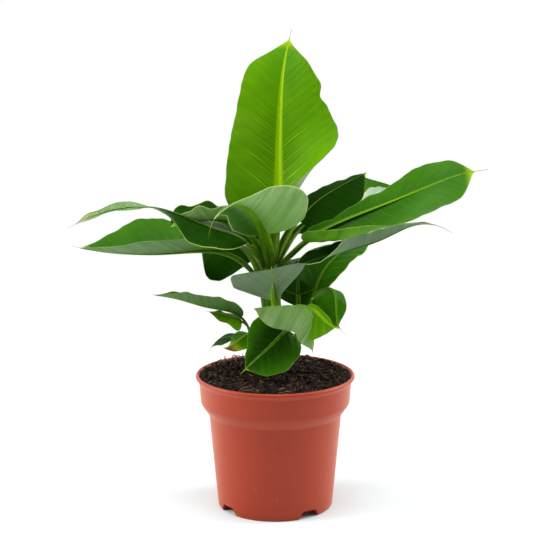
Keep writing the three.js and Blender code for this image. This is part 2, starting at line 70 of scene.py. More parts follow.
def makeCamera():
    data = bpy.data.cameras.new("camera")
    data.lens = view["lens"]
    data.sensor_width = view["sensor"]
    data.clip_end = 20
    camera = bpy.data.objects.new("camera", data)
    camera.location = view["place"]
    camera.rotation_euler = (math.radians(view["pitch"]), 0, 0)
    bpy.context.scene.collection.objects.link(camera)
    bpy.context.scene.camera = camera


def sign(operation, reflected=False):
    # a method that adds one Math node
    def method(self, *others):
        values = (*others, self) if reflected else (self, *others)
        return self.math(operation, *values)
    return method


class Value:
    # one output of a shader tree, so that Python's own signs add Math nodes

    def __init__(self, paint, socket):
        self.paint = paint
        self.socket = socket

    def math(self, operation, *values):
        return self.paint.node("Math", dict(enumerate(values)), {"operation": operation})

    __add__, __radd__ = sign("ADD"), sign("ADD", True)
    __sub__, __rsub__ = sign("SUBTRACT"), sign("SUBTRACT", True)
    __mul__, __rmul__ = sign("MULTIPLY"), sign("MULTIPLY", True)
    __truediv__, __pow__, __abs__ = sign("DIVIDE"), sign("POWER"), sign("ABSOLUTE")


class Paint:
    # a material or a world, and the shader tree that is built up in it

    def __init__(self, name, kind="materials"):
        self.owner = getattr(bpy.data, kind).new(name)
        self.owner.use_nodes = True
        self.tree = self.owner.node_tree
        self.tree.nodes.clear()

    def node(self, kind, inputs=None, settings=None, output=0):
        made = self.tree.nodes.new("ShaderNode" + kind)
        for key, value in (settings or {}).items():
            setattr(made, key, value)
        for key, value in (inputs or {}).items():
            if isinstance(value, Value):
                self.tree.links.new(value.socket, made.inputs[key])
            else:
                made.inputs[key].default_value = value
        return Value(self, made.outputs[output]) if made.outputs else None

    def mix(self, share, first, second):
        return self.node("Mix", {0: share, 6: first, 7: second}, {"data_type": "RGBA"}, 2)

    def tint(self, share, base, tone):
        # a screen colour laid over the base
        return self.mix(share, base, colour(*tone))

    def step(self, value, low, high):
        # 0 below low and 1 above high, smooth between
        inputs = {0: value, 1: low, 2: high, 3: 0.0, 4: 1.0}
        return self.node("MapRange", inputs, {"interpolation_type": "SMOOTHSTEP"})

    def split(self, vector):
        made = self.node("SeparateXYZ", {0: vector})
        outputs = made.socket.node.outputs
        return [Value(self, outputs[i]) for i in range(3)]

    def join(self, x, y, z):
        return self.node("CombineXYZ", {0: x, 1: y, 2: z})

    def place(self):
        return self.node("TexCoord", output="Object")

    def attribute(self, name):
        return self.split(self.node("Attribute", None, {"attribute_name": name}, "Vector"))

    def grain(self, vector, scale, detail=3.0, roughness=0.5):
        inputs = {"Vector": vector, "Scale": scale, "Detail": detail, "Roughness": roughness}
        return self.node("TexNoise", inputs)

    def bump(self, height, strength, distance, below=None):
        inputs = {"Height": height, "Strength": strength, "Distance": distance}
        if below:
            inputs["Normal"] = below
        return self.node("Bump", inputs)

    def finish(self, base, roughness, specular, relief=None):
        inputs = {"Base Color": base, "Roughness": roughness, "Specular IOR Level": specular}
        if relief:
            inputs["Normal"] = relief
        surface = self.node("BsdfPrincipled", inputs)
        self.node("OutputMaterial", {"Surface": surface})
        return self.owner


def makeWorld():
    # white to the camera, and to the plant brighter behind than in front
    paint = Paint("studio", "worlds")
    depth = paint.split(paint.node("TexCoord", output="Generated"))[1]
    strength = paint.node("MapRange", {
        0: depth, 1: studio["frontAt"], 2: studio["backAt"], 3: studio["front"], 4: studio["back"]})
    lit = paint.node("Background", {"Color": white, "Strength": strength})
    seen = paint.node("Background", {"Color": white, "Strength": studio["backdrop"]})
    straight = paint.node("LightPath", output="Is Camera Ray")
    sky = paint.node("MixShader", {0: straight, 1: lit, 2: seen})
    paint.node("OutputWorld", {"Surface": sky})
    bpy.context.scene.world = paint.owner
    bpy.context.scene.view_settings.view_transform = "Standard"


def makeSoftboxes():
    for i, (place, size, power, aim) in enumerate(studio["softboxes"]):
        data = bpy.data.lights.new(f"softbox{i}", "AREA")
        data.shape = "DISK"
        data.size = size
        data.energy = power
        box = bpy.data.objects.new(f"softbox{i}", data)
        box.location = place
        box.rotation_euler = (Vector(aim) - Vector(place)).to_track_quat("-Z", "Y").to_euler()
        bpy.context.scene.collection.objects.link(box)


def makeFloor():
    # the camera sees it fade to white away from the pot, and the plant is lit by its plain colour
    bm = bmesh.new()
    bmesh.ops.create_grid(bm, x_segments=1, y_segments=1, size=studio["floorSize"] / 2)
    paint = Paint("floor")
    tint = colour(*studio["floorColour"])
    x, y, _ = paint.split(paint.place())
    away = paint.step((x * x + y * y) ** 0.5, studio["floorNear"], studio["floorFar"])
    inputs = {"Base Color": tint, "Roughness": 0.9, "Specular IOR Level": 0.0}
    near = paint.node("BsdfPrincipled", inputs)
    far = paint.node("Emission", {"Color": white, "Strength": 1.0})
    seen = paint.node("MixShader", {0: away, 1: near, 2: far})
    dull = paint.node("BsdfDiffuse", {"Color": tint})
    straight = paint.node("LightPath", output="Is Camera Ray")
    surface = paint.node("MixShader", {0: straight, 1: dull, 2: seen})
    paint.node("OutputMaterial", {"Surface": surface})
    makeObject("floor", bm, [paint.owner])


def makeObject(name, bm, materials, smooth=True):
    mesh = bpy.data.meshes.new(name)
    bm.to_mesh(mesh)
    bm.free()
    for material in materials:
        mesh.materials.append(material)
    mesh.polygons.foreach_set("use_smooth", [smooth] * len(mesh.polygons))
    piece = bpy.data.objects.new(name, mesh)
    bpy.context.scene.collection.objects.link(piece)
    return piece


def handIn(piece, slot, *nodes):
    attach(piece, "root")
    if nodes:
        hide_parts(*nodes)


makeCamera()
makeWorld()
makeSoftboxes()
makeFloor()
print("camera and studio stand")


def loftRings(bm, rings):
    # a closed skin: a circle that is extruded through rings of equally many points
    order = bmesh.ops.create_circle(bm, segments=len(rings[0]), radius=mm)["verts"]
    for vert, spot in zip(order, rings[0]):
        vert.co = spot
    edges = list({e for v in order for e in v.link_edges})
    bmesh.ops.contextual_create(bm, geom=edges)
    levels = [order]
    for ring in rings[1:]:
        drawn = bmesh.ops.extrude_edge_only(bm, edges=edges)["geom"]
        fresh = {g for g in drawn if isinstance(g, bmesh.types.BMVert)}
        edges = [g for g in drawn if isinstance(g, bmesh.types.BMEdge) and set(g.verts) <= fresh]
        order = [next(o for e in v.link_edges if (o := e.other_vert(v)) in fresh) for v in order]
        for vert, spot in zip(order, ring):
            vert.co = spot
        levels.append(order)
    bmesh.ops.contextual_create(bm, geom=edges)
    return levels


# pot

pot = dict(
    rim=60, rimHeight=102, bead=1.6,
    collarTop=57.4, collarFoot=56.2, collarFootHeight=81,
    shoulder=50.3, shoulderHeight=72.4,
    foot=43.5, wall=1.5, steps=160,
    rounding=0.45, sharpest=14,   # edges that fold more than this are rounded
    shadeBreak=32,                # and edges that fold more than this stay crisp in the shading
)
notch = dict(
    count=4, first=-54, half=9.2, halfTop=6.2, height=6, inner=24, corner=1.6,
    roof=1.5, below=2.0,          # how far the cutters reach under the pot
)
potLook = dict(
    dark=(147, 40, 9), light=(160, 49, 15), rough=0.40, specular=0.3,
    dust=(214, 160, 138), dustShare=0.12,
    haze=(234, 150, 114), paintedSheenShare=0.55, paintedSheenBlend=0.3,   # painted sheen: the colour is lightened where the wall turns away
)


def potOutline():
    # from the middle of the floor up the outside, over the rim and down the inside
    inset, bead, rim, top = pot["wall"], pot["bead"], pot["rim"], pot["rimHeight"]
    foot, shoulder, ledge = pot["foot"], pot["shoulder"], pot["shoulderHeight"]
    collar, neck, collarAt = pot["collarFoot"], pot["collarTop"], pot["collarFootHeight"]
    floor = notch["height"] + notch["roof"]
    outside = [
        (0, 0), (foot - 0.8, 0), (foot, 1.2), (shoulder - 0.5, ledge - 3), (shoulder, ledge),
        (collar - 3.2, ledge + 3.4), (collar - 1.2, ledge + 6.4), (collar, collarAt),
        (neck - 0.1, top - 3.4 * bead), (rim - 1.2, top - 2.2 * bead), (rim - 0.2, top - 1.5 * bead),
        (rim, top - bead), (rim - 0.3, top - 0.45 * bead), (rim - 1.1, top), (rim - 1.9, top),
    ]
    inside = [
        (rim - 2.6, top - 0.5), (neck - inset, top - 3.4), (collar - inset, collarAt),
        (shoulder - inset, ledge + 1.4), (shoulder - 0.5 - inset, ledge - 3),
        (foot - inset + 0.6, floor), (0, floor),
    ]
    return outside + inside


def spinOutline(outline, steps):
    bm = bmesh.new()
    chain = [bm.verts.new((r * mm, 0, z * mm)) for r, z in outline]
    edges = [bm.edges.new(pair) for pair in zip(chain, chain[1:])]
    bmesh.ops.spin(bm, geom=chain + edges, cent=(0, 0, 0), axis=(0, 0, 1), angle=math.tau,
                   steps=steps, use_merge=True, use_duplicate=False)
    bmesh.ops.remove_doubles(bm, verts=bm.verts, dist=0.01 * mm)
    bmesh.ops.recalc_face_normals(bm, faces=bm.faces)
    return bm


def channelCutter():
    # the water channels across the foot
    bm = bmesh.new()
    for i in range(notch["count"]):
        turn = Matrix.Rotation(math.radians(notch["first"] + i * 360 / notch["count"]), 4, "Z")
        bottom, height = notch["below"], notch["height"]
        lean = (notch["half"] - notch["halfTop"]) / height
        corners = [(-notch["half"] - lean * bottom, -bottom), (notch["half"] + lean * bottom, -bottom),
                   (notch["halfTop"], height), (-notch["halfTop"], height)]
        start = [bm.verts.new((x * mm, -notch["inner"] * mm, z * mm)) for x, z in corners]
        face = bm.faces.new(start)
        drawn = bmesh.ops.extrude_face_region(bm, geom=[face])["geom"]
        moved = [g for g in drawn if isinstance(g, bmesh.types.BMVert)]
        bmesh.ops.translate(bm, verts=moved, vec=(0, -(pot["rim"] - notch["inner"]) * mm, 0))
        bmesh.ops.rotate(bm, verts=start + moved, matrix=turn)
    top = [e for e in bm.edges if all(v.co.z > (notch["height"] - 0.1) * mm for v in e.verts)]
    bmesh.ops.bevel(bm, geom=top, offset=notch["corner"] * mm, segments=4, profile=0.5,
                    affect="EDGES", material=-1)
    bmesh.ops.recalc_face_normals(bm, faces=bm.faces)
    return bm


def subtract(piece, cutter):
    cut = piece.modifiers.new("cut", "BOOLEAN")
    cut.object = cutter
    cut.operation = "DIFFERENCE"
    cut.solver = "EXACT"
    bpy.context.view_layer.update()
    shaped = bpy.data.meshes.new_from_object(
        piece.evaluated_get(bpy.context.evaluated_depsgraph_get()))
    piece.modifiers.clear()
    piece.data = shaped
    bpy.data.objects.remove(cutter)


def potPlastic():
    paint = Paint("potPlastic")
    place = paint.place()
    cloud = paint.grain(place, 18.0, 3.0)
    speck = paint.grain(place, 900.0, 2.0, 0.6)
    dust = paint.step(paint.grain(place, 260.0, 2.0, 0.7), 0.66, 0.8)
    base = paint.mix(cloud, colour(*potLook["dark"]), colour(*potLook["light"]))
    base = paint.tint(dust * potLook["dustShare"], base, potLook["dust"])
    # painted sheen: the base colour turns paler and pinker where the wall turns away from view
    haze = paint.node("LayerWeight", {"Blend": potLook["paintedSheenBlend"]}, output=1)
    base = paint.tint(haze * haze * potLook["paintedSheenShare"], base, potLook["haze"])
    rough = potLook["rough"] + speck * 0.12
    relief = paint.bump(speck, 0.10, 0.2 * mm, paint.bump(cloud, 0.12, 2 * mm))
    return paint.finish(base, rough, potLook["specular"], relief)


def makePot():
    bm = spinOutline(potOutline(), pot["steps"])
    folded = [e for e in bm.edges
              if len(e.link_faces) == 2 and e.calc_face_angle() > math.radians(pot["sharpest"])
              and abs(e.verts[0].co.z - e.verts[1].co.z) < 0.01 * mm]
    bmesh.ops.bevel(bm, geom=folded, offset=pot["rounding"] * mm, segments=3, profile=0.5,
                    affect="EDGES", material=-1, clamp_overlap=True)
    piece = makeObject("nurseryPot", bm, [potPlastic()])
    subtract(piece, makeObject("channels", channelCutter(), []))
    piece.data.polygons.foreach_set("use_smooth", [True] * len(piece.data.polygons))
    piece.data.set_sharp_from_angle(angle=math.radians(pot["shadeBreak"]))
    handIn(piece, "pot_plastic", "pot")


makePot()
print("pot turned")

# soil

soil = dict(
    edge=101.4, middle=104.5, ridge=0.6,          # heights, and how high its ridges run
    rings=78, steps=200, lumpSize=6.0, lump=2.5,
    gap=0.4, above=0.2,                           # from the pot's wall and from its floor
    settle=2.5, calm=0.35,                        # this near the wall the clods shrink to calm
)
crumbs = dict(
    count=1500, smallest=0.5, largest=2.7, fine=1.3, reach=55.7,   # finer ones have fewer faces
    rise=(-0.1, 0.5),            # of a crumb's middle above the soil, as a share of its size
    long=(0.7, 1.5), broad=(0.6, 1.1), flat=(0.5, 0.9), bulge=0.35, bulgeSize=1.1,
)
fibres = dict(
    count=430, shortest=3, longest=13, thin=0.12, thick=0.32, reach=55, sides=4, steps=7,
    lift=(0.1, 1.4), bend=1.6,
    curls=14, curlsAt=(118, 168), curlsOut=(0.8, 0.97),   # thick ones that stand up at the back
    curlLift=(2.5, 5.0), curlThick=2.2,
)
peatLook = dict(
    soil=[(9, 7, 6), (36, 27, 22), (72, 47, 34)],         # dark, light and rusty
    crumbs=[(14, 10, 8), (50, 37, 29), (98, 66, 46)],
    fibres=[(44, 31, 25), (164, 120, 92)],
)


def smooth(value, low, high):
    share = min(max((value - low) / (high - low), 0), 1)
    return share * share * (3 - 2 * share)


def lerp(first, second, share):
    return first + (second - first) * share


def soilHeight(x, y):
    radius = math.hypot(x, y)
    dome = smooth(pot["collarTop"] - radius, 2, 40)
    lumps = math.sin(x * 0.31 + 1) * math.cos(y * 0.27) + 0.6 * math.sin(x * 0.13 - y * 0.55)
    return lerp(soil["edge"], soil["middle"], dome) + soil["ridge"] * lumps


def soilRelief(x, y):
    # clods and pits on top of the broad shape, in millimetres
    spot = Vector((x, y, 0)) / soil["lumpSize"]
    broad = noise.fractal(spot, 1.0, 2.0, 3)
    clods = 0.5 - noise.voronoi(spot * 1.3)[0][0]
    return soil["lump"] * (0.7 * broad + 0.6 * clods)


def soilTop(x, y):
    return soilHeight(x, y) + soilRelief(x, y)


def peat(name, tints):
    paint = Paint(name)
    dark, light, rusty = (colour(*tint) for tint in tints)
    place = paint.place()
    coarse = paint.step(paint.grain(place, 210.0, 4.0, 0.6), 0.35, 0.68)
    fine = paint.grain(place, 1100.0, 3.0, 0.6)
    rust = paint.step(paint.grain(place, 330.0, 2.0), 0.6, 0.75)
    base = paint.mix(coarse, dark, light)
    base = paint.mix(rust * 0.6, base, rusty)
    relief = paint.bump(fine, 0.7, 0.5 * mm, paint.bump(coarse, 0.6, 1.2 * mm))
    return paint.finish(base, 0.93, 0.15, relief)


def makeSoil():
    inset = pot["wall"] + soil["gap"]
    floor = notch["height"] + notch["roof"] + soil["above"]
    wall = [(0, floor), (pot["foot"] - inset, floor),
            (pot["shoulder"] - inset - soil["gap"], pot["shoulderHeight"] - 3),
            (pot["collarFoot"] - inset, pot["collarFootHeight"]),
            (pot["collarTop"] - inset, soil["edge"] - 2)]
    edge = pot["collarTop"] - pot["wall"] - 0.1
    top = [(edge * (1 - i / soil["rings"]), soil["middle"]) for i in range(soil["rings"] + 1)]
    bm = spinOutline(wall + top, soil["steps"])
    for vert in bm.verts:
        if vert.co.z < (soil["middle"] - 0.01) * mm:
            continue
        x, y = vert.co.x / mm, vert.co.y / mm
        radius = math.hypot(x, y)
        share = lerp(1, soil["calm"], smooth(radius, edge - soil["settle"], edge))
        vert.co.z = (soilHeight(x, y) + soilRelief(x, y) * share) * mm
    handIn(makeObject("pottedPeat", bm, [peat("peat", peatLook["soil"])]), "peat", "soil")


def soilSpot(radius, angle):
    x, y = radius * math.cos(angle), radius * math.sin(angle)
    return Vector((x, y, soilTop(x, y)))


def anySpot(reach):
    radius = reach * math.sqrt(random.random())
    return soilSpot(radius, random.uniform(0, math.tau))


def curlSpot():
    angle = math.radians(random.uniform(*fibres["curlsAt"]))
    return soilSpot(random.uniform(*fibres["curlsOut"]) * fibres["reach"], angle)


def makeCrumbs():
    bm = bmesh.new()
    for _ in range(crumbs["count"]):
        size = lerp(crumbs["smallest"], crumbs["largest"], random.random() ** 3)
        spot = anySpot(crumbs["reach"] - size)
        spot += Vector((0, 0, size * random.uniform(*crumbs["rise"])))
        sides = [random.uniform(*crumbs[side]) for side in ("long", "broad", "flat")]
        squash = Matrix.Diagonal((*sides, 1))
        angle = random.uniform(0, math.tau)
        axis = Vector([random.uniform(-1, 1) for _ in range(3)]).normalized()
        turn = Matrix.Rotation(angle, 4, axis)
        shape = Matrix.Translation(spot * mm) @ turn @ squash
        made = bmesh.ops.create_icosphere(bm, subdivisions=2 if size > crumbs["fine"] else 1,
                                          radius=size * mm, matrix=shape)
        for vert in made["verts"]:
            bulge = noise.noise(vert.co / (crumbs["bulgeSize"] * mm)) * crumbs["bulge"]
            vert.co += (vert.co - spot * mm) * bulge
    material = peat("crumbPeat", peatLook["crumbs"])
    handIn(makeObject("peatCrumbs", bm, [material], smooth=False), "peat")


def strand(bm, points, radii, sides):
    # a thin closed tube through the points
    rings = []
    angles = [math.tau * k / sides for k in range(sides)]
    spokes = [Vector((math.cos(a), math.sin(a), 0)) for a in angles]
    for i, point in enumerate(points):
        ahead = points[min(i + 1, len(points) - 1)] - points[max(i - 1, 0)]
        turn = ahead.to_track_quat("Z", "Y").to_matrix()
        rings.append([point + turn @ spoke * radii[i] for spoke in spokes])
    loftRings(bm, rings)


def fibre():
    paint = Paint("fibre")
    tint = paint.grain(paint.place(), 120.0, 2.0)
    dark, light = (colour(*tone) for tone in peatLook["fibres"])
    base = paint.mix(paint.step(tint, 0.35, 0.65), dark, light)
    return paint.finish(base, 0.85, 0.2)


def makeFibres():
    bm = bmesh.new()
    for i in range(fibres["count"]):
        length = random.uniform(fibres["shortest"], fibres["longest"])
        heading = random.uniform(0, math.tau)
        bend = random.uniform(-fibres["bend"], fibres["bend"])
        curl = i < fibres["curls"]
        spot = curlSpot() if curl else anySpot(fibres["reach"] - 1)
        points = []
        lift = random.uniform(*fibres["curlLift" if curl else "lift"])
        for k in range(fibres["steps"]):
            share = k / (fibres["steps"] - 1)
            inside = min(1, (fibres["reach"] - 0.4) / max(math.hypot(spot.x, spot.y), 1))
            spot.x *= inside
            spot.y *= inside
            height = soilTop(spot.x, spot.y)
            points.append(Vector((spot.x, spot.y, height + lift * math.sin(math.pi * share))) * mm)
            step = length / (fibres["steps"] - 1)
            spot += Vector((math.cos(heading), math.sin(heading), 0)) * step
            heading += bend / fibres["steps"]
        thick = random.uniform(fibres["thin"], fibres["thick"]) * (fibres["curlThick"] if curl else 1)
        radii = [thick * mm * (1 - 0.5 * k / fibres["steps"]) for k in range(fibres["steps"])]
        strand(bm, points, radii, fibres["sides"])
    bmesh.ops.recalc_face_normals(bm, faces=bm.faces)
    handIn(makeObject("peatFibres", bm, [fibre()]), "peat")


makeSoil()
makeCrumbs()
makeFibres()
print("soil filled in")

# stems

seat = dict(socket=2.5, above=0.35)      # a stem's foot is below the soil, a leaf's above its stem
stems = {
    "trunk": dict(
        foot=[-3, 8], length=81, heading=[0, 0], rise=[89, 91], radii=[8.6, 8.2, 7.9, 7.6, 7.0]),
    "sucker_left": dict(
        foot=[-17, 13], length=29, heading=[-84, -84], rise=[60, 64], radii=[4.6, 4.4, 4.2]),
    "sucker_front": dict(
        foot=[6.6, -1.4], length=40, heading=[-96, -96], rise=[69, 73], radii=[4.4, 4.4, 4.2]),
    "sucker_right": dict(
        foot=[4.6, 20], length=37.6, heading=[-49, -49], rise=[49, 55], radii=[4.6, 4.6, 4.4]),
}
stemLook = dict(levels=40, steps=48, flute=0.14, flutes=9, core=1.5)   # core: under the sheaths
